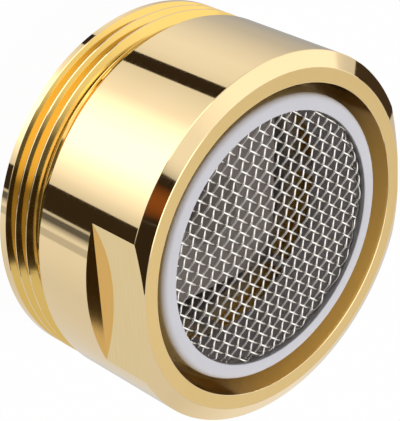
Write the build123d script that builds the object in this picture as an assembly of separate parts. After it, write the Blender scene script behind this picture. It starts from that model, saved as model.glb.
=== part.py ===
from build123d import *
from math import hypot, sqrt
import os

# Tap aerator, in millimetres. It stands on its sealing washer, inlet down and outlet up, with +Z along
# the flow and the origin at the centre of the washer's free face. The spanner flats face +X and -X.

# Housing: turned brass with an outside thread
thread_d = 23.9           # crest of the M24 x 1 thread, left plain here
thread_chamfer = 0.1
relief_depth = 0.8        # run-out groove between thread and barrel
relief_w = 0.55
body_step = 0.05          # radial, from the thread's crests to the barrel
body_h = 8.6              # barrel, from its back face to the outlet lip
body_chamfer = 0.2        # back edge of the barrel
housing_h = 12.3          # thread end to outlet lip
front_chamfer_w = 0.95    # radial
front_chamfer_h = 0.5     # axial
lip_w = 0.95              # flat outlet lip, radial
seat_step = 0.5           # radial, from the bore to the seat that takes the insert and the washer
flat_depth = 1.0          # leaves 22 mm across the two spanner flats
flat_h = 4.1              # from the outlet lip down to the flat's shoulder

# Parts dropped into the seat
seat_gap = 0.1            # radial clearance of every rim in the seat
washer_t = 2.3
washer_w = 1.9
washer_proud = 0.4        # how far the washer stands out of the thread end
plate_t = 1.0
flange_t = 1.0
insert_turn = -4.0        # degrees, how the insert happens to lie in the housing

# Insert sleeve
air_gap = 0.8             # radial, between sleeve and bore, where the air comes in
sleeve_wall = 0.83
catch_w = 0.22            # inward lip that holds the screen
catch_t = 0.25
nose_recess = 0.4         # nose ring below the outlet lip
nose_chamfer = 0.4
collar_h = 0.2            # plain wall between the flange and the air windows
window_h = 2.6
post_count = 8
post_w = 0.7

# Jet plate with its square deflector
jet_count = 16
jet_w = 1.0
jet_inset = 1.4           # radial, from the sleeve's wall to the middle of a jet
hub_d = 6.8
well_d = 4.8              # hollow of the hub, open to the outlet
deflector_gap = 0.45      # radial clearance of its corners in the sleeve
deflector_rise = 2.0      # from the plate to the deflector
deflector_t = 0.9

# Inlet strainer: a shallow pan
strainer_t = 0.5
pan_gap = 0.4             # radial clearance of the pan in the washer
pan_h = 1.5
pan_inset = 1.2           # radial slope of the pan's side
strainer_pitch = 1.6
strainer_hole = 1.0

# Outlet screen
screen_gap = 0.05         # radial clearance of the screen in the sleeve
screen_t = 0.44           # two wires thick
screen_wall = 0.22
screen_rim_w = 0.35       # cut edge, bent back along the sleeve
screen_rim_h = 0.9
mesh_pitch = 1.5
mesh_bar = 0.42
mesh_turn = 51.0          # degrees from +X to the wires
ridge_foot = 1.3          # length of a wire's crest at its foot
ridge_top = 0.6

cut_over = 1.0            # how far a cutting solid runs past the face it opens

# Diameters, from the thread inwards
body_d = thread_d + 2 * body_step
relief_d = thread_d - 2 * relief_depth
bore_d = body_d - 2 * (front_chamfer_w + lip_w)
seat_d = bore_d + 2 * seat_step
rim_d = seat_d - 2 * seat_gap
washer_bore = rim_d - 2 * washer_w
pan_d = washer_bore - 2 * pan_gap
sleeve_d = bore_d - 2 * air_gap
chamber_d = sleeve_d - 2 * sleeve_wall
mouth_d = chamber_d - 2 * catch_w

# Heights, stacked from the free face of the washer
strainer_z = washer_t
plate_z = strainer_z + strainer_t
flange_z = plate_z + plate_t
seat_z = flange_z + flange_t
thread_z = washer_proud
outlet_z = thread_z + housing_h
body_z = outlet_z - body_h
nose_z = outlet_z - nose_recess
ledge_z = nose_z - catch_t
window_z = seat_z + collar_h
screen_z = ledge_z - screen_t


def turned(points):
    """Solid of revolution about Z from a closed outline of (radius, height) points."""
    with BuildPart() as solid:
        with BuildSketch(Plane.XZ):
            with BuildLine():
                Polyline(*points, close=True)
            make_face()
        revolve(axis=Axis.Z)
    return solid.part


def make_housing():
    thread_r = thread_d / 2
    body_r = body_d / 2
    relief_r = relief_d / 2
    outline = [
        (seat_d / 2, thread_z),
        (thread_r - thread_chamfer, thread_z),
        (thread_r, thread_z + thread_chamfer),
        (thread_r, body_z - relief_w),
        (relief_r, body_z - relief_w),
        (relief_r, body_z),
        (body_r - body_chamfer, body_z),
        (body_r, body_z + body_chamfer),
        (body_r, outlet_z - front_chamfer_h),
        (body_r - front_chamfer_w, outlet_z),
        (bore_d / 2, outlet_z),
        (bore_d / 2, seat_z),
        (seat_d / 2, seat_z),
    ]
    cut_depth = flat_depth + cut_over
    cut_middle = body_d / 2 + (cut_over - flat_depth) / 2
    standing = (Align.CENTER, Align.CENTER, Align.MIN)
    cutter = Box(cut_depth, body_d + cut_over, flat_h + cut_over, align=standing)
    flats = [Pos(side * cut_middle, 0, outlet_z - flat_h) * cutter for side in (1, -1)]
    return turned(outline) - flats


def make_washer():
    outer_r = rim_d / 2
    inner_r = washer_bore / 2
    return turned([(inner_r, 0), (outer_r, 0), (outer_r, washer_t), (inner_r, washer_t)])


def make_strainer():
    """Flat rim on the washer, and a shallow pan with square holes that bulges towards the inlet."""
    pan_r = pan_d / 2
    floor_r = pan_r - pan_inset
    floor_z = strainer_z - pan_h
    outline = [
        (0, floor_z),
        (floor_r, floor_z),
        (pan_r, strainer_z),
        (rim_d / 2, strainer_z),
        (rim_d / 2, strainer_z + strainer_t),
        (pan_r, strainer_z + strainer_t),
        (floor_r, floor_z + strainer_t),
        (0, floor_z + strainer_t),
    ]
    with BuildPart() as strainer:
        add(turned(outline))
        with BuildSketch(Plane.XY.offset(floor_z)):
            with Locations(grid_inside(strainer_pitch, floor_r - strainer_hole)):
                Rectangle(strainer_hole, strainer_hole)
        extrude(amount=strainer_t, mode=Mode.SUBTRACT)
    return strainer.part


def grid_inside(pitch, radius, shift=0.0):
    """Points of a square grid that lie inside a circle; shift moves the grid by a share of the pitch."""
    reach = int(radius / pitch) + 1
    steps = [(n + shift) * pitch for n in range(-reach, reach + 1)]
    return [(x, y) for x in steps for y in steps if hypot(x, y) < radius]


def make_jet_plate():
    """Plate with a ring of jets, and a square deflector on a hollow hub that breaks them into spray."""
    plate_top = plate_z + plate_t
    deflector_z = plate_top + deflector_rise
    deflector_w = (chamber_d / 2 - deflector_gap) * sqrt(2)
    with BuildPart() as plate:
        with BuildSketch(Plane.XY.offset(plate_z)):
            Circle(rim_d / 2)
            with PolarLocations(chamber_d / 2 - jet_inset, jet_count):
                Rectangle(jet_w, jet_w, mode=Mode.SUBTRACT)
        extrude(amount=plate_t)
        with BuildSketch(Plane.XY.offset(plate_top)):
            Circle(hub_d / 2)
        extrude(amount=deflector_rise)
        with BuildSketch(Plane.XY.offset(deflector_z)):
            Rectangle(deflector_w, deflector_w)
        extrude(amount=deflector_t)
        with BuildSketch(Plane.XY.offset(plate_top)):
            Circle(well_d / 2)
        extrude(amount=deflector_rise + deflector_t, mode=Mode.SUBTRACT)
    return Rot(0, 0, insert_turn) * plate.part


def make_sleeve():
    sleeve_r = sleeve_d / 2
    chamber_r = chamber_d / 2
    outline = [
        (chamber_r, flange_z),
        (rim_d / 2, flange_z),
        (rim_d / 2, seat_z),
        (sleeve_r, seat_z),
        (sleeve_r, nose_z - nose_chamfer),
        (sleeve_r - nose_chamfer, nose_z),
        (mouth_d / 2, nose_z),
        (mouth_d / 2, ledge_z),
        (chamber_r, ledge_z),
    ]
    with BuildPart() as sleeve:
        add(turned(outline))
        # Air windows: a band all round, less the posts that carry the chamber
        with BuildSketch(Plane.XY.offset(window_z)):
            Circle(sleeve_r + cut_over)
            Circle(chamber_r - cut_over, mode=Mode.SUBTRACT)
            with PolarLocations((sleeve_r + chamber_r) / 2, post_count):
                Rectangle(sleeve_wall + 4 * cut_over, post_w, mode=Mode.SUBTRACT)
        extrude(amount=window_h, mode=Mode.SUBTRACT)
    return Rot(0, 0, insert_turn) * sleeve.part


def make_screen():
    """Woven screen as one wall: square gaps between wires, and a crest where a wire passes over another."""
    screen_r = chamber_d / 2 - screen_gap
    open_r = screen_r - screen_rim_w
    wall_z = ledge_z - (screen_t + screen_wall) / 2
    gap = mesh_pitch - mesh_bar
    ridge_h = (screen_t - screen_wall) / 2
    with BuildPart() as wall:
        with BuildSketch(Plane.XY.offset(wall_z)):
            Circle(screen_r)
            with BuildSketch(mode=Mode.SUBTRACT):
                with Locations(grid_inside(mesh_pitch, open_r, shift=0.5)):
                    Rectangle(gap, gap)
                Circle(open_r, mode=Mode.INTERSECT)
        extrude(amount=screen_wall)
        with BuildSketch(Plane.XY.offset(ledge_z)):
            Circle(screen_r)
            Circle(open_r, mode=Mode.SUBTRACT)
        extrude(amount=-screen_rim_h)
    side = make_face(
        Polyline(
            (-ridge_foot / 2, 0),
            (ridge_foot / 2, 0),
            (ridge_top / 2, ridge_h),
            (-ridge_top / 2, ridge_h),
            close=True,
        )
    )
    crest = Rot(90, 0, 0) * extrude(side, mesh_bar / 2, both=True)
    crests = []
    for x, y in grid_inside(mesh_pitch, open_r - ridge_foot / 2):
        over = round((x + y) / mesh_pitch) % 2 * 90
        crests.append(Pos(x, y, wall_z + screen_wall) * Rot(0, 0, over) * crest)
        crests.append(Pos(x, y, wall_z) * Rot(180, 0, 90 - over) * crest)
    return Rot(0, 0, mesh_turn) * (wall.part + crests)


pieces = {
    "sealing_washer": make_washer(),
    "inlet_strainer": make_strainer(),
    "jet_plate": make_jet_plate(),
    "insert_sleeve": make_sleeve(),
    "outlet_screen": make_screen(),
    "housing": make_housing(),
}

os.makedirs("parts", exist_ok=True)
for name, piece in pieces.items():
    export_step(piece, f"parts/{name}.step")
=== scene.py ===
import bmesh
import bpy
from math import atan2, ceil, cos, hypot, pi, radians, sin, sqrt, tan
from math import floor as whole
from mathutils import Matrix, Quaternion, Vector


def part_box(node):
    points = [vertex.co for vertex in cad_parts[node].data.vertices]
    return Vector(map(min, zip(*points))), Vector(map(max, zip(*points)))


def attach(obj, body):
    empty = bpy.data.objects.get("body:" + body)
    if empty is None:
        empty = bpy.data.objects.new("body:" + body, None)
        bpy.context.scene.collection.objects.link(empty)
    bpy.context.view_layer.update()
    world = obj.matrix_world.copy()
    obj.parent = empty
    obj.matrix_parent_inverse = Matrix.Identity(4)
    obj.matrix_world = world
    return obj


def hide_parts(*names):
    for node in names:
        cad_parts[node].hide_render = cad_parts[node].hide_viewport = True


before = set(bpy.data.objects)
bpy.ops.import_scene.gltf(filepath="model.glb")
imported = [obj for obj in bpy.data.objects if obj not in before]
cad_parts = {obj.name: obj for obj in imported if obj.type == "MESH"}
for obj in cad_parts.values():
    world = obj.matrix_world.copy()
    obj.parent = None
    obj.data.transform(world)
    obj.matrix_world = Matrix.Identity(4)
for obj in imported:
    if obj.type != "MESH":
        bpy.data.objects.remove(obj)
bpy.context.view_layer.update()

# Sealing washer: a flat ring die-cut from black nitrile rubber. It lies on the strainer's rim in the seat
# of the housing and is squeezed against the step inside the spout.
mm = 0.001


def linear(hex_colour):
    """Linear RGBA of an sRGB colour written as #RRGGBB."""
    shares = [int(hex_colour[n:n + 2], 16) / 255 for n in (1, 3, 5)]
    return [s / 12.92 if s <= 0.04045 else ((s + 0.055) / 1.055) ** 2.4 for s in shares] + [1.0]


def add(tree, kind, inputs=None, **settings):
    """Adds a node, gives it its settings, and sets or links its inputs."""
    node = tree.nodes.new(kind)
    for name, value in settings.items():
        setattr(node, name, value)
    for name, value in (inputs or {}).items():
        if isinstance(value, bpy.types.NodeSocket):
            tree.links.new(value, node.inputs[name])
        else:
            node.inputs[name].default_value = value
    return node


def new_material(name):
    """Empty node material, and its node tree."""
    material = bpy.data.materials.new(name)
    material.use_nodes = True
    material.node_tree.nodes.clear()
    return material, material.node_tree


def dress(piece, *materials):
    """Gives a piece its materials in place of those it had."""
    piece.data.materials.clear()
    for material in materials:
        piece.data.materials.append(material)


# Nitrile rubber, die-cut: dull black with a slightly dusty bloom and a fine sheet grain
rubber_grain = 0.35 * mm
rubber, tree = new_material("nitrile_rubber")
place = add(tree, "ShaderNodeTexCoord").outputs["Object"]
bloom = add(tree, "ShaderNodeTexNoise", {"Vector": place, "Scale": 1 / rubber_grain, "Detail": 4.0})
shade = add(tree, "ShaderNodeValToRGB", {"Fac": bloom.outputs["Fac"]})
shade.color_ramp.elements[0].color = linear("#141415")
shade.color_ramp.elements[1].color = linear("#2B2B2C")
grain = add(tree, "ShaderNodeBump", {
    "Height": bloom.outputs["Fac"], "Strength": 0.25, "Distance": 0.02 * mm,
})
skin = add(tree, "ShaderNodeBsdfPrincipled", {
    "Base Color": shade.outputs["Color"],
    "Roughness": 0.75,
    "Normal": grain.outputs["Normal"],
})
add(tree, "ShaderNodeOutputMaterial", {"Surface": skin.outputs["BSDF"]})
dress(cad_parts["sealing_washer"], rubber)

# Inlet strainer: a white acetal moulding that lies on the washer. Its pan of square holes keeps grit out of
# the jets.

# Acetal, moulded: cool white with a satin skin from the mould and very faint flow clouds
flow_cloud = 4.0 * mm
mould_grain = 0.12 * mm
acetal, tree = new_material("moulded_acetal")
place = add(tree, "ShaderNodeTexCoord").outputs["Object"]
cloud = add(tree, "ShaderNodeTexNoise", {"Vector": place, "Scale": 1 / flow_cloud, "Detail": 3.0})
tint = add(tree, "ShaderNodeValToRGB", {"Fac": cloud.outputs["Fac"]})
tint.color_ramp.elements[0].color = linear("#D6D5DC")
tint.color_ramp.elements[1].color = linear("#E2E1E6")
spark = add(tree, "ShaderNodeTexNoise", {"Vector": place, "Scale": 1 / mould_grain, "Detail": 2.0})
satin = add(tree, "ShaderNodeMapRange", {"Value": spark.outputs["Fac"], "To Min": 0.36, "To Max": 0.48})
grain = add(tree, "ShaderNodeBump", {
    "Height": spark.outputs["Fac"], "Strength": 0.12, "Distance": 0.01 * mm,
})
skin = add(tree, "ShaderNodeBsdfPrincipled", {
    "Base Color": tint.outputs["Color"],
    "Roughness": satin.outputs["Result"],
    "IOR": 1.48,
    "Normal": grain.outputs["Normal"],
})
add(tree, "ShaderNodeOutputMaterial", {"Surface": skin.outputs["BSDF"]})
dress(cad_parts["inlet_strainer"], acetal)

# Jet plate: an acetal moulding that drops into the seat above the strainer. Water leaves its ring of jets,
# and the square deflector on its hollow hub breaks them into spray.

# Acetal, moulded: a warm grey set well below the white of the sleeve; this grey is painted shade for the dim
# chamber behind the screen
shaded_chamber_acetal, tree = new_material("acetal_with_painted_shade")
place = add(tree, "ShaderNodeTexCoord").outputs["Object"]
cloud = add(tree, "ShaderNodeTexNoise", {"Vector": place, "Scale": 1 / flow_cloud, "Detail": 3.0})
tint = add(tree, "ShaderNodeValToRGB", {"Fac": cloud.outputs["Fac"]})
tint.color_ramp.elements[0].color = linear("#7F7672")
tint.color_ramp.elements[1].color = linear("#8B817D")
satin = add(tree, "ShaderNodeMapRange", {"Value": cloud.outputs["Fac"], "To Min": 0.36, "To Max": 0.48})
# Painted light: within hollow_r of the axis the hub's hollow gets a paler colour than the rest, standing in
# for light that reaches it
hollow_r = 2.41 * mm
off_axis = add(tree, "ShaderNodeVectorMath", {0: place, 1: (1.0, 1.0, 0.0)}, operation="MULTIPLY")
reach = add(tree, "ShaderNodeVectorMath", {0: off_axis.outputs["Vector"]}, operation="LENGTH")
hollow = add(tree, "ShaderNodeMath", {0: reach.outputs["Value"], 1: hollow_r}, operation="LESS_THAN")
hollow_painted_light = add(tree, "ShaderNodeMixRGB", {
    0: hollow.outputs["Value"], 1: tint.outputs["Color"], 2: linear("#D0CAC5"),
})
skin = add(tree, "ShaderNodeBsdfPrincipled", {
    "Base Color": hollow_painted_light.outputs["Color"],
    "Roughness": satin.outputs["Result"],
    "IOR": 1.48,
})
add(tree, "ShaderNodeOutputMaterial", {"Surface": skin.outputs["BSDF"]})
dress(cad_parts["jet_plate"], shaded_chamber_acetal)

# Insert sleeve: one acetal moulding. Its flange rests on the housing's seat, eight posts leave windows for
# the air, and the rounded nose with its inward lip holds the screen and shows as the white ring.
sleeve_low, sleeve_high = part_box("insert_sleeve")
flange_r = sleeve_high.x
flange_t = 1.0 * mm
sleeve_r = 9.3 * mm
chamber_r = 8.47 * mm
mouth_r = 8.25 * mm
lip_t = 0.25 * mm
collar_h = 0.2 * mm
window_h = 2.6 * mm
post_count = 8
facets_per_bay = 20       # faces round the sleeve from one post to the next
post_facets = 2           # of these, how many a post takes
insert_turn = radians(-4)  # how the insert happens to lie in the housing
nose_radius = 0.42 * mm
edge_radius = 0.06 * mm
merge_gap = 0.0005 * mm   # points closer than this are one


def outline(shape, points):
    """Adds a run of wire edges through (radius, height) points in the XZ plane, and returns its corners."""
    corners = [shape.verts.new((radius, 0, height)) for radius, height in points]
    for corner, following in zip(corners, corners[1:]):
        shape.edges.new((corner, following))
    return corners


def round_corners(shape, corners, radius, segments):
    """Rounds corners of a wire outline."""
    bmesh.ops.bevel(
        shape, geom=corners, offset=radius, offset_type="OFFSET", segments=segments, profile=0.5,
        affect="VERTICES", material=-1,
    )


def ends_of(edges):
    """Points at the ends of edges, each of them once and in the edges' order."""
    return list(dict.fromkeys(v for e in edges for v in e.verts))


def turn_round(shape, steps, turns=1, lead=0.0):
    """Spins the wire edges of a shape round Z; a lead lifts every turn and makes a screw of it."""
    wires = [e for e in shape.edges if not e.link_faces]
    bmesh.ops.spin(
        shape, geom=wires + ends_of(wires), axis=(0, 0, 1), cent=(0, 0, 0),
        dvec=(0, 0, lead / steps), angle=2 * pi * turns, steps=steps * turns, use_merge=not lead,
    )
    bmesh.ops.remove_doubles(shape, verts=shape.verts, dist=merge_gap)


def finish_piece(shape, name, sharp_angle):
    """Keeps the hard edges of a shape and makes it an object that rides on the part."""
    bmesh.ops.recalc_face_normals(shape, faces=shape.faces)
    for face in shape.faces:
        face.smooth = True
    for edge in shape.edges:
        edge.smooth = edge.calc_face_angle(0.0) < radians(sharp_angle)
    mesh = bpy.data.meshes.new(name)
    shape.to_mesh(mesh)
    shape.free()
    piece = bpy.data.objects.new(name, mesh)
    bpy.context.scene.collection.objects.link(piece)
    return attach(piece, "root")


seat_z = sleeve_low.z + flange_t
window_z = seat_z + collar_h
window_top = window_z + window_h
ledge_z = sleeve_high.z - lip_t
sleeve = bmesh.new()
corners = outline(sleeve, [
    (chamber_r, sleeve_low.z),
    (flange_r, sleeve_low.z),
    (flange_r, seat_z),
    (sleeve_r, seat_z),
    (sleeve_r, window_z),
    (sleeve_r, window_top),
    (sleeve_r, sleeve_high.z),
    (mouth_r, sleeve_high.z),
    (mouth_r, ledge_z),
    (chamber_r, ledge_z),
    (chamber_r, window_top),
    (chamber_r, window_z),
    (chamber_r, sleeve_low.z),
])
flange_edges = corners[1:3]
nose, mouth = corners[6:8]
round_corners(sleeve, [nose], nose_radius, segments=6)
round_corners(sleeve, [mouth] + flange_edges, edge_radius, segments=3)
turn_round(sleeve, post_count * facets_per_bay)
bay = 2 * pi / post_count
half_post = bay * post_facets / facets_per_bay / 2
windows = [[] for n in range(post_count)]
for face in sleeve.faces:
    middle = face.calc_center_median()
    turn = atan2(middle.y, middle.x) % (2 * pi)
    off_post = abs((turn + bay / 2) % bay - bay / 2)
    if window_z < middle.z < window_top and off_post > half_post:
        windows[int(turn / bay)].append(face)
for window in windows:
    sill = [e for f in window for e in f.edges if sum(g in window for g in e.link_faces) == 1]
    bmesh.ops.delete(sleeve, geom=window, context="FACES_ONLY")
    bmesh.ops.bridge_loops(sleeve, edges=sill)
loose = [e for e in sleeve.edges if not e.link_faces]
bmesh.ops.delete(sleeve, geom=loose, context="EDGES")
bmesh.ops.rotate(sleeve, verts=sleeve.verts, matrix=Quaternion((0, 0, 1), insert_turn).to_matrix())
sleeve = finish_piece(sleeve, "insert_sleeve_moulding", sharp_angle=32)
dress(sleeve, acetal)
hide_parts("insert_sleeve")

# Outlet screen: plain-woven stainless wire cloth, cut round and pressed into a shallow cap. Its bent edge
# springs against the chamber's wall, and the nose lip keeps it from falling out.
screen_low, screen_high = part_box("outlet_screen")
wire_d = 0.155 * mm
up_step = 0.657 * mm      # from one crossing to the next along the up wires
side_step = 0.714 * mm    # and along the side wires
up_turn = radians(52.4)
side_turn = radians(139.2)
up_way = Vector((cos(up_turn), sin(up_turn)))
side_way = Vector((cos(side_turn), sin(side_turn)))
over_point = Vector((-0.454, 0.134)) * mm  # a crossing where an up wire passes over
crimp_up = 0.075 * mm
crimp_side = wire_d - crimp_up
bend_radius = 0.15 * mm
screen_r = chamber_r
flat_r = screen_r - wire_d / 2 - bend_radius
cloth_z = screen_high.z - crimp_up - wire_d / 2
skirt_h = cloth_z - screen_low.z - bend_radius - wire_d / 2
blank_r = flat_r + bend_radius * pi / 2 + skirt_h


def pressed(flat_place, rise):
    """Place of a point of the flat cloth after its edge has been pressed down."""
    reach = flat_place.length
    past = max(reach - flat_r, 0.0)
    angle = min(past / bend_radius, pi / 2)
    drop = bend_radius * (1 - cos(angle)) + max(past - bend_radius * pi / 2, 0.0)
    radius = min(reach, flat_r) + bend_radius * sin(angle)
    x, y = flat_place * (radius / reach)
    return (x, y, cloth_z - drop + rise * cos(angle))


cloth = bpy.data.curves.new("outlet_screen_wires", "CURVE")
cloth.dimensions = "3D"
cloth.bevel_depth = wire_d / 2
cloth.bevel_resolution = 1
cloth.use_fill_caps = True
rows = ceil(blank_r / min(up_step, side_step))
for way, step, across, gap, crimp, parity in (
    (up_way, up_step, side_way, side_step, crimp_up, 0),
    (side_way, side_step, up_way, up_step, crimp_side, 1),
):
    for row in range(-rows, rows + 1):
        foot = over_point + across * gap * row
        middle = -foot.dot(way)
        room = blank_r**2 - foot.length_squared + middle**2
        if room <= 0:
            continue
        ends = (middle - sqrt(room), middle + sqrt(room))
        crossings = range(ceil(ends[0] / step), whole(ends[1] / step) + 1)
        wire = cloth.splines.new("NURBS")
        wire.points.add(len(crossings) + 1)
        wire.points[0].co = (*pressed(foot + way * ends[0], 0.0), 1.0)
        wire.points[-1].co = (*pressed(foot + way * ends[1], 0.0), 1.0)
        for point, crossing in zip(wire.points[1:-1], crossings):
            over = 1 if (crossing + row) % 2 == parity else -1
            # A smooth spline swings half as far as its points, so they are set at twice the crimp
            point.co = (*pressed(foot + way * step * crossing, 2 * over * crimp), 1.0)
        wire.order_u = 3
        wire.use_endpoint_u = True
        wire.resolution_u = 4
        wire.use_smooth = True
woven = bpy.data.objects.new("outlet_screen_wires", cloth)
screen_mesh = bpy.data.meshes.new_from_object(woven)
screen = bpy.data.objects.new("outlet_screen_woven", screen_mesh)
bpy.data.objects.remove(woven)
bpy.context.scene.collection.objects.link(screen)
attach(screen, "root")

# Stainless wire, drawn: bright and slightly warm, with fine draw streaks that break up its shine
draw_streak = 0.1 * mm
steel, tree = new_material("drawn_stainless_wire")
place = add(tree, "ShaderNodeTexCoord").outputs["Object"]
streak = add(tree, "ShaderNodeTexNoise", {"Vector": place, "Scale": 1 / draw_streak, "Detail": 2.0})
tone = add(tree, "ShaderNodeValToRGB", {"Fac": streak.outputs["Fac"]})
tone.color_ramp.elements[0].color = linear("#DAD6CF")
tone.color_ramp.elements[1].color = linear("#FAF7F1")
shine = add(tree, "ShaderNodeMapRange", {"Value": streak.outputs["Fac"], "To Min": 0.08, "To Max": 0.18})
skin = add(tree, "ShaderNodeBsdfPrincipled", {
    "Base Color": tone.outputs["Color"],
    "Metallic": 1.0,
    "Roughness": shine.outputs["Result"],
})
add(tree, "ShaderNodeOutputMaterial", {"Surface": skin.outputs["BSDF"]})
dress(screen, steel)
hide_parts("outlet_screen")

# Housing: turned from brass bar, threaded M24 x 1, milled with two spanner flats, then polished and gold
# plated. It screws into the spout and carries the insert on the seat inside.
housing_low, housing_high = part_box("housing")
body_r = housing_high.y
body_h = 8.6 * mm
body_z = housing_high.z - body_h
body_chamfer = 0.2 * mm
front_chamfer_w = 0.95 * mm
front_chamfer_h = 0.5 * mm
bore_r = 10.1 * mm
seat_r = 10.6 * mm
relief_r = 11.15 * mm
relief_w = 0.55 * mm
flat_x = 11.0 * mm
flat_h = 4.1 * mm
flat_z = housing_high.z - flat_h
shoulder_slope = tan(radians(2))  # the cutter leaned a little, so the shoulder's outer edge is higher
thread_r = 11.95 * mm
thread_chamfer = 0.1 * mm
thread_pitch = 1.0 * mm
thread_depth = 0.6 * mm
flank_slope = tan(radians(30))    # half the angle of the thread
crest_w = 0.1 * mm
crest_z = 2.034 * mm      # height of one of the crests on the side that faces +X
groove_start = -1.52      # turns from there, down the thread, to where its groove begins
groove_ramp = 0.1         # turns that the groove takes to reach its depth
soft_edge = 0.035 * mm
turn_steps = 240

# Thread: one pitch of its outline is swept up a helix and cut square at both ends
half_crest = crest_w / 2
flank_w = thread_depth * flank_slope
root_r = thread_r - thread_depth
turns_below = ceil((crest_z - housing_low.z) / thread_pitch) + 1
turns_above = ceil((body_z - crest_z) / thread_pitch)
start_z = crest_z - turns_below * thread_pitch
shape = bmesh.new()
corners = outline(shape, [
    (thread_r, start_z),
    (thread_r, start_z + half_crest),
    (root_r, start_z + half_crest + flank_w),
    (root_r, start_z + thread_pitch - half_crest - flank_w),
    (thread_r, start_z + thread_pitch - half_crest),
    (thread_r, start_z + thread_pitch),
])
round_corners(shape, corners[1:-1], soft_edge, segments=2)
turn_round(shape, turn_steps, turns_below + turns_above, lead=thread_pitch)
land_z = housing_low.z + thread_chamfer
relief_z = body_z - relief_w
for height, side in ((land_z, -1), (relief_z, 1)):
    bmesh.ops.bisect_plane(
        shape, geom=shape.verts[:] + shape.edges[:] + shape.faces[:], dist=merge_gap,
        plane_co=(0, 0, height), plane_no=(0, 0, side), clear_outer=True,
    )
# Below the groove's start the end stays a plain land, and the relief cuts off what reaches into it
for vert in shape.verts:
    radius = hypot(vert.co.x, vert.co.y)
    turn = atan2(vert.co.y, vert.co.x) / (2 * pi)
    travel = whole((vert.co.z - crest_z) / thread_pitch - turn) + turn - groove_start
    depth = (thread_r - radius) * min(max(travel / groove_ramp, 0.0), 1.0)
    limit = min(thread_r - depth, relief_r + (relief_z - vert.co.z) / flank_slope)
    vert.co.x *= limit / radius
    vert.co.y *= limit / radius

# Barrel, lip, bore and seat
corners = outline(shape, [
    (relief_r, body_z),
    (body_r - body_chamfer, body_z),
    (body_r, body_z + body_chamfer),
    (body_r, flat_z),
    (body_r, housing_high.z - front_chamfer_h),
    (body_r - front_chamfer_w, housing_high.z),
    (bore_r, housing_high.z),
    (bore_r, seat_z),
    (seat_r, seat_z),
    (seat_r, housing_low.z),
    (thread_r - thread_chamfer, housing_low.z),
])
back_edges = corners[1:3]
front_edges = corners[4:7]
round_corners(shape, back_edges + front_edges, soft_edge, segments=2)
turn_round(shape, turn_steps)
for low, high in ((housing_low.z, land_z), (relief_z, body_z)):
    rings = [
        e for e in shape.edges
        if e.is_boundary and all(low - merge_gap < v.co.z < high + merge_gap for v in e.verts)
    ]
    bmesh.ops.bridge_loops(shape, edges=rings)

# Spanner flats: the skin is cut along each flat, the outer part goes, and flat and shoulder are closed
for side in (1, -1):
    high = [f for f in shape.faces if f.calc_center_median().z > flat_z]
    high_edges = list(dict.fromkeys(e for f in high for e in f.edges))
    bmesh.ops.bisect_plane(
        shape, geom=high + high_edges + ends_of(high_edges), dist=merge_gap,
        plane_co=(side * flat_x, 0, 0), plane_no=(side, 0, 0),
    )
    outside = [
        f for f in shape.faces
        if f.calc_center_median().z > flat_z and f.calc_center_median().x * side > flat_x + merge_gap
    ]
    rim = [e for f in outside for e in f.edges if sum(g in outside for g in e.link_faces) == 1]
    bmesh.ops.delete(shape, geom=outside, context="FACES")
    step = [e for e in rim if all(abs(v.co.z - flat_z) < merge_gap for v in e.verts)]
    flat = [e for e in rim if e not in step]
    arc = ends_of(step)
    for vert in arc:
        vert.co.z += max(abs(vert.co.x) - flat_x, 0.0) * shoulder_slope
    flat_ends = ends_of(flat)
    fold = shape.edges.new([v for v in arc if v in flat_ends])
    bmesh.ops.contextual_create(shape, geom=step + [fold])
    bmesh.ops.contextual_create(shape, geom=flat + [fold])
housing = finish_piece(shape, "housing_turned", sharp_angle=5)

# Gold plate over polished brass: deep mirror shine, with faint turning lines that fray a reflection
turn_line = 0.18 * mm
line_stretch = 0.02       # share of the pattern's pace that is left along a line
smear = 5.0 * mm
gold, tree = new_material("polished_gold_plate")
place = add(tree, "ShaderNodeTexCoord").outputs["Object"]
lines = add(tree, "ShaderNodeMapping", {"Vector": place, "Scale": (line_stretch, line_stretch, 1.0)})
line = add(tree, "ShaderNodeTexNoise", {
    "Vector": lines.outputs["Vector"], "Scale": 1 / turn_line, "Detail": 2.0,
})
haze = add(tree, "ShaderNodeTexNoise", {"Vector": place, "Scale": 1 / smear, "Detail": 3.0})
hue = add(tree, "ShaderNodeValToRGB", {"Fac": haze.outputs["Fac"]})
hue.color_ramp.elements[0].color = linear("#F6DAA6")
hue.color_ramp.elements[1].color = linear("#FAE0B0")
fray = add(tree, "ShaderNodeMapRange", {"Value": line.outputs["Fac"], "To Min": 0.02, "To Max": 0.07})
skin = add(tree, "ShaderNodeBsdfPrincipled", {
    "Base Color": hue.outputs["Color"],
    "Metallic": 1.0,
    "Roughness": fray.outputs["Result"],
})
add(tree, "ShaderNodeOutputMaterial", {"Surface": skin.outputs["BSDF"]})

# Satin gold plate: the lip was faced with a fine tool, so its rings scatter the light
ring_line = 0.09 * mm
satin_gold, tree = new_material("satin_gold_plate")
place = add(tree, "ShaderNodeTexCoord").outputs["Object"]
reach = add(tree, "ShaderNodeVectorMath", {0: place}, operation="LENGTH")
ring = add(tree, "ShaderNodeTexNoise", {
    "W": reach.outputs["Value"], "Scale": 1 / ring_line,
}, noise_dimensions="1D")
haze = add(tree, "ShaderNodeTexNoise", {"Vector": place, "Scale": 1 / smear, "Detail": 3.0})
hue = add(tree, "ShaderNodeValToRGB", {"Fac": haze.outputs["Fac"]})
hue.color_ramp.elements[0].color = linear("#F2D08C")
hue.color_ramp.elements[1].color = linear("#F8D896")
rings = add(tree, "ShaderNodeBump", {"Height": ring.outputs["Fac"], "Strength": 0.2, "Distance": 0.01 * mm})
skin = add(tree, "ShaderNodeBsdfPrincipled", {
    "Base Color": hue.outputs["Color"],
    "Metallic": 1.0,
    "Roughness": 0.3,
    "Normal": rings.outputs["Normal"],
})
add(tree, "ShaderNodeOutputMaterial", {"Surface": skin.outputs["BSDF"]})

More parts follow.
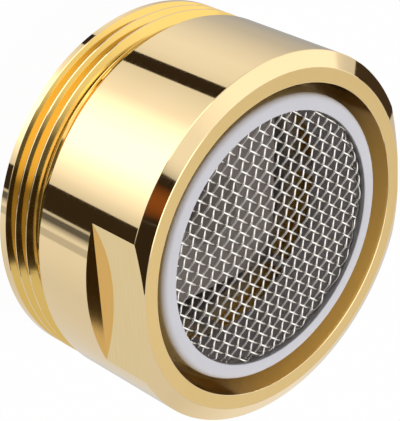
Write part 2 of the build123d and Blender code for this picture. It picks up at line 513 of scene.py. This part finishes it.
# Gold plate over brass as turned: a deeper yellow in the thread and the bore, where no wheel polishes it
deep_gold, tree = new_material("unpolished_gold_plate")
place = add(tree, "ShaderNodeTexCoord").outputs["Object"]
haze = add(tree, "ShaderNodeTexNoise", {"Vector": place, "Scale": 1 / smear, "Detail": 3.0})
hue = add(tree, "ShaderNodeValToRGB", {"Fac": haze.outputs["Fac"]})
hue.color_ramp.elements[0].color = linear("#F0C86C")
hue.color_ramp.elements[1].color = linear("#F5D07A")
fray = add(tree, "ShaderNodeMapRange", {"Value": haze.outputs["Fac"], "To Min": 0.06, "To Max": 0.14})
skin = add(tree, "ShaderNodeBsdfPrincipled", {
    "Base Color": hue.outputs["Color"],
    "Metallic": 1.0,
    "Roughness": fray.outputs["Result"],
})
add(tree, "ShaderNodeOutputMaterial", {"Surface": skin.outputs["BSDF"]})

# Gold plate over milled brass: the cutter's fine lines across the flats fray what they mirror
cut_line = 0.1 * mm
cut_stretch = 0.04
milled_gold, tree = new_material("milled_gold_plate")
place = add(tree, "ShaderNodeTexCoord").outputs["Object"]
lines = add(tree, "ShaderNodeMapping", {"Vector": place, "Scale": (1.0, cut_stretch, 1.0)})
line = add(tree, "ShaderNodeTexNoise", {
    "Vector": lines.outputs["Vector"], "Scale": 1 / cut_line, "Detail": 2.0,
})
hue = add(tree, "ShaderNodeValToRGB", {"Fac": line.outputs["Fac"]})
hue.color_ramp.elements[0].color = linear("#F2D69A")
hue.color_ramp.elements[1].color = linear("#FCE4B0")
fray = add(tree, "ShaderNodeMapRange", {"Value": line.outputs["Fac"], "To Min": 0.02, "To Max": 0.05})
skin = add(tree, "ShaderNodeBsdfPrincipled", {
    "Base Color": hue.outputs["Color"],
    "Metallic": 1.0,
    "Roughness": fray.outputs["Result"],
})
add(tree, "ShaderNodeOutputMaterial", {"Surface": skin.outputs["BSDF"]})
dress(housing, gold, satin_gold, deep_gold, milled_gold)
lip_finish, inner_finish, flat_finish = 1, 2, 3  # places of the last three materials
for face in housing.data.polygons:
    middle = face.center
    inner_r = thread_r - soft_edge if middle.z < body_z else bore_r
    if middle.z > housing_high.z - merge_gap:
        face.material_index = lip_finish
    elif middle.xy.length < inner_r:
        face.material_index = inner_finish
    elif abs(abs(middle.x) - flat_x) < merge_gap and middle.z > flat_z:
        face.material_index = flat_finish
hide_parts("housing")

# Floor: a wide white table top. The camera sees it white, with the soft shadow of the part; polished metal
# looks past it into the studio.
floor_size = 3.0
white_share = 0.98        # of what the camera sees of the floor; the rest takes the shadow
floor_mesh = bpy.data.meshes.new("floor")
table = bmesh.new()
bmesh.ops.create_grid(table, x_segments=1, y_segments=1, size=floor_size / 2)
table.to_mesh(floor_mesh)
table.free()
floor = bpy.data.objects.new("floor", floor_mesh)
bpy.context.scene.collection.objects.link(floor)
floor.visible_glossy = False
paper, tree = new_material("white_table")
seen = add(tree, "ShaderNodeLightPath").outputs["Is Camera Ray"]
matt = add(tree, "ShaderNodeBsdfDiffuse", {"Color": linear("#F2F2F2")})
glow = add(tree, "ShaderNodeEmission", {"Color": linear("#FFFFFF"), "Strength": 1.0})
part_glow = add(tree, "ShaderNodeMath", {0: seen, 1: white_share}, operation="MULTIPLY")
both = add(tree, "ShaderNodeMixShader", {
    0: part_glow.outputs["Value"], 1: matt.outputs["BSDF"], 2: glow.outputs["Emission"],
})
add(tree, "ShaderNodeOutputMaterial", {"Surface": both.outputs["Shader"]})
dress(floor, paper)

# Studio: a bright room with softboxes and dark flags that the metal mirrors. Each ring holds the light at
# one height, as azimuths in degrees with the level there; between two of them the light changes evenly.
peak = 3.0                # level that the white of a ring's ramp stands for
low_ring = [
    (-180, 0.52), (-171, 0.57), (-146, 0.84), (-133, 0.94), (-121, 0.91), (-113, 0.82), (-101, 0.82),
    (-82, 1.05), (-69, 1.65), (-56, 1.95), (-43, 1.95), (-30, 1.35), (-17, 0.87), (-13, 0.75), (0, 0.6),
    (5, 0.6), (8.5, 0.15), (13, 0.85), (24, 0.84), (33, 0.8), (48, 0.73), (109, 0.73), (153, 0.42),
    (165, 0.42), (180, 0.52),
]
middle_ring = [
    (-180, 0.8), (-176, 1.0), (-120, 0.7), (-100, 0.6), (-88, 0.9), (-77, 1.15), (-22, 1.15),
    (-14, 0.85), (-8, 0.25), (4, 0.35), (22, 0.35), (30, 0.6), (40, 0.7), (95, 0.7), (115, 0.88),
    (140, 0.88), (157, 0.6), (178, 0.7), (180, 0.8),
]
high_ring = [
    (-180, 1.2), (-142, 1.2), (-120, 0.95), (-95, 0.95), (-84, 0.85), (-69, 0.6), (-52, 0.35),
    (-40, 0.13), (1, 0.1), (12, 0.1), (40, 0.72), (84, 0.73), (118, 0.68), (138, 0.78), (150, 0.6),
    (165, 0.85), (178, 1.2), (180, 1.2),
]
# Flags: azimuth from and to and height from and to, in degrees, then the colour of the cloth
flags = [
    (-112.8, -102.8, -100, -20, "#1A140D"),
    (-12.9, 3.2, -100, -20, "#1C160F"),
    (5.0, 9.0, -100, -20, "#393939"),
    (14.6, 19.6, -100, -20, "#777777"),
    (159, 175, -12, 23, "#231C14"),
    (5, 45.7, 23, 47, "#1A140D"),
    (0, 57, 47, 60, "#1A140D"),
    (0, 66, 60, 78, "#1A140D"),
    (-66, 66, 78, 100, "#1A140D"),
]
flag_edge = 0.3           # degrees over which a flag's edge fades
# Two small softboxes and a brown card: azimuth, height, reach and soft edge in degrees, then the colour
small_boxes = [
    (-76, 34, 18, 3, "#D8D8D8"),
    (138, 70, 13, 3, "#D8D8D8"),
    (-3, 82.5, 0.5, 4.5, "#522D11"),
]
# Sines of the heights between which one ring passes into the next, and the light from below fades in
low_end = sin(radians(-28))
middle_start = sin(radians(-12))
middle_end = sin(radians(22))
high_start = sin(radians(24))
under_end = sin(radians(-58))
low_start = sin(radians(-50))
under_share = 0.08        # of the lowest ring's light, straight below
room_level = 0.06         # light that matt surfaces get from the room


def towards(azimuth, height):
    """Unit vector towards an azimuth and a height, both in radians."""
    return Vector((cos(azimuth) * cos(height), sin(azimuth) * cos(height), sin(height)))


studio = bpy.data.worlds.new("studio")
bpy.context.scene.world = studio
studio.use_nodes = True
tree = studio.node_tree
tree.nodes.clear()
way = add(tree, "ShaderNodeTexCoord").outputs["Generated"]
part_way = add(tree, "ShaderNodeSeparateXYZ", {"Vector": way})
turn = add(tree, "ShaderNodeMath", {0: part_way.outputs["Y"], 1: part_way.outputs["X"]}, operation="ARCTAN2")
share = add(tree, "ShaderNodeMapRange", {"Value": turn.outputs["Value"], "From Min": -pi, "From Max": pi})
rings = []
for stops in (low_ring, middle_ring, high_ring):
    ramp = add(tree, "ShaderNodeValToRGB", {"Fac": share.outputs["Result"]})
    elements = ramp.color_ramp.elements
    elements[0].position = 0.0
    elements[1].position = 1.0
    for azimuth, _ in stops[1:-1]:
        elements.new((azimuth + 180) / 360)
    for element, (_, level) in zip(elements, stops):
        element.color = (level / peak, level / peak, level / peak, 1.0)
    rings.append(ramp.outputs["Color"])
rise_low = add(tree, "ShaderNodeMapRange", {
    "Value": part_way.outputs["Z"], "From Min": low_end, "From Max": middle_start,
})
rise_high = add(tree, "ShaderNodeMapRange", {
    "Value": part_way.outputs["Z"], "From Min": middle_end, "From Max": high_start,
})
lower = add(tree, "ShaderNodeMixRGB", {0: rise_low.outputs["Result"], 1: rings[0], 2: rings[1]})
upper = add(tree, "ShaderNodeMixRGB", {
    0: rise_high.outputs["Result"], 1: lower.outputs["Color"], 2: rings[2],
})
rise = add(tree, "ShaderNodeMath", {0: part_way.outputs["Z"]}, operation="ARCSINE")
flagged = upper.outputs["Color"]
for first, last, bottom, top, flag_colour in flags:
    inside = 1.0
    for angle, edge, side in ((turn, first, 1), (turn, last, -1), (rise, bottom, 1), (rise, top, -1)):
        past = add(tree, "ShaderNodeMapRange", {
            "Value": angle.outputs["Value"],
            "From Min": radians(edge - side * flag_edge / 2),
            "From Max": radians(edge + side * flag_edge / 2),
        })
        both = add(tree, "ShaderNodeMath", {0: inside, 1: past.outputs["Result"]}, operation="MULTIPLY")
        inside = both.outputs["Value"]
    mixed = add(tree, "ShaderNodeMixRGB", {0: inside, 1: flagged, 2: linear(flag_colour)})
    flagged = mixed.outputs["Color"]
boxed = flagged
for box_turn, box_rise, box_reach, box_fade, box_colour in small_boxes:
    box_way = towards(radians(box_turn), radians(box_rise))
    facing = add(tree, "ShaderNodeVectorMath", {0: way, 1: box_way}, operation="DOT_PRODUCT")
    inside = add(tree, "ShaderNodeMapRange", {
        "Value": facing.outputs["Value"],
        "From Min": cos(radians(box_reach) + radians(box_fade)),
        "From Max": cos(radians(box_reach)),
    })
    mixed = add(tree, "ShaderNodeMixRGB", {0: inside.outputs["Result"], 1: boxed, 2: linear(box_colour)})
    boxed = mixed.outputs["Color"]
under = add(tree, "ShaderNodeMapRange", {
    "Value": part_way.outputs["Z"], "From Min": under_end, "From Max": low_start, "To Min": under_share,
})
panel_light = add(tree, "ShaderNodeVectorMath", {
    0: boxed, "Scale": under.outputs["Result"],
}, operation="SCALE")
light_path = add(tree, "ShaderNodeLightPath")
room = add(tree, "ShaderNodeBackground", {"Color": linear("#FFFFFF"), "Strength": room_level})
panels = add(tree, "ShaderNodeBackground", {"Color": panel_light.outputs["Vector"], "Strength": peak})
white = add(tree, "ShaderNodeBackground", {"Color": linear("#FFFFFF"), "Strength": 1.0})
lit = add(tree, "ShaderNodeMixShader", {
    0: light_path.outputs["Is Glossy Ray"], 1: room.outputs["Background"], 2: panels.outputs["Background"],
})
shown = add(tree, "ShaderNodeMixShader", {
    0: light_path.outputs["Is Camera Ray"], 1: lit.outputs["Shader"], 2: white.outputs["Background"],
})
add(tree, "ShaderNodeOutputWorld", {"Surface": shown.outputs["Shader"]})

# Top panel: a soft lamp high above the outlet. It lights the plastic and reaches through the screen into the
# chamber; the metal does not mirror it.
panel_way = towards(radians(138), radians(72))
panel_reach = 0.4
panel_size = 0.1
panel_power = 1.25
panel_data = bpy.data.lights.new("top_panel", "AREA")
panel_data.size = panel_size
panel_data.energy = panel_power
panel = bpy.data.objects.new("top_panel", panel_data)
panel.location = panel_way * panel_reach
panel.rotation_euler = (-panel_way).to_track_quat("-Z", "Y").to_euler()
panel.visible_glossy = False
bpy.context.scene.collection.objects.link(panel)

# Camera: as the photograph was taken, close to the outlet and rolled so that the part lies on its side.
# Everything is in focus.
camera_place = Vector((61.6, -53.9, 74.11)) * mm
camera_aim = Vector((2.75, -1.94, 8.69)) * mm
camera_roll = radians(115.6)
focal_length = 143.65
sensor_size = 36.0
nearest_seen = 1.0 * mm
camera_data = bpy.data.cameras.new("camera")
camera_data.lens = focal_length
camera_data.sensor_width = sensor_size
camera_data.clip_start = nearest_seen
camera = bpy.data.objects.new("camera", camera_data)
camera.location = camera_place
aim = (camera_aim - camera_place).to_track_quat("-Z", "Y")
camera.rotation_euler = (aim @ Quaternion((0, 0, 1), camera_roll)).to_euler()
bpy.context.scene.collection.objects.link(camera)
bpy.context.scene.camera = camera
bpy.context.scene.view_settings.view_transform = "Standard"
